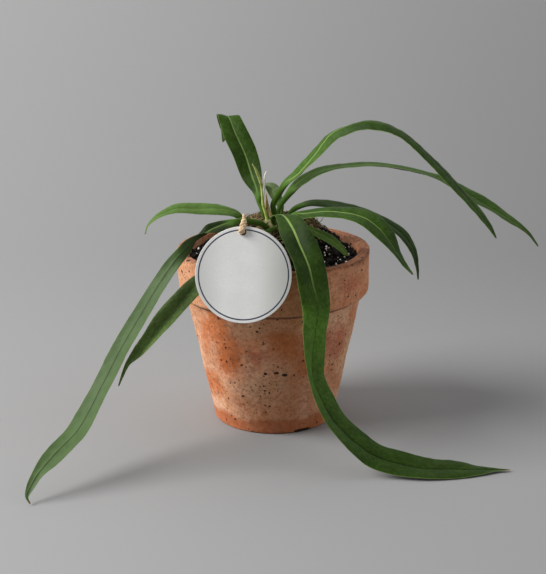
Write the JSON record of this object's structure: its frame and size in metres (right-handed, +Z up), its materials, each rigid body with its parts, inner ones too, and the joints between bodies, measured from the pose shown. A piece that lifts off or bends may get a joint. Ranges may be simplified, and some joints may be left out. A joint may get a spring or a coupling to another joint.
{
  "type": "potted strap-leaved anthurium",
  "caption": "Strap-leaved anthurium in a tapered terracotta pot with soil and moss, long arching and trailing leaves, and a round blank tag tied on with twine.",
  "frame": {"origin": "middle of the base of the bounding box, on the surface that the pot stands on", "axes": "+Z up along the pot's axis, +X to the side that the two long arching leaves reach to, -Y to the side of the tag"},
  "size_m": [0.349, 0.2228, 0.2218],
  "materials": {
    "terracotta": "unglazed, matt, pitted and stained",
    "soil": "moist dark peat with pale perlite bits",
    "moss": "dry brown sphagnum",
    "stem": "short green and brown stem",
    "leaf": "deep green, satin, leathery",
    "leaf_light": "lighter grey green, satin",
    "leaf_olive": "olive green, satin",
    "shoot": "fresh yellow green",
    "sheath": "dry and papery",
    "tag": "pale, slightly glossy, with a thin dark ring",
    "twine": "natural jute"
  },
  "bodies": {
    "root": {"pot": "terracotta", "soil": "soil", "moss": "moss", "stem": "stem", "leaf_upright": "leaf", "leaf_high_right": "leaf", "leaf_second_right": "leaf", "leaf_mid_right_rear": "leaf", "leaf_mid_right_front": "leaf", "leaf_front_trailing": "leaf", "leaf_left_trailing": "leaf_light", "leaf_upper_left": "leaf_light", "leaf_lower_left": "leaf", "leaf_rear": "leaf_olive", "leaf_short": "leaf_light", "shoot": "shoot", "sheath": "sheath", "tag": "tag", "twine": "twine"}
  },
  "joints": []
}
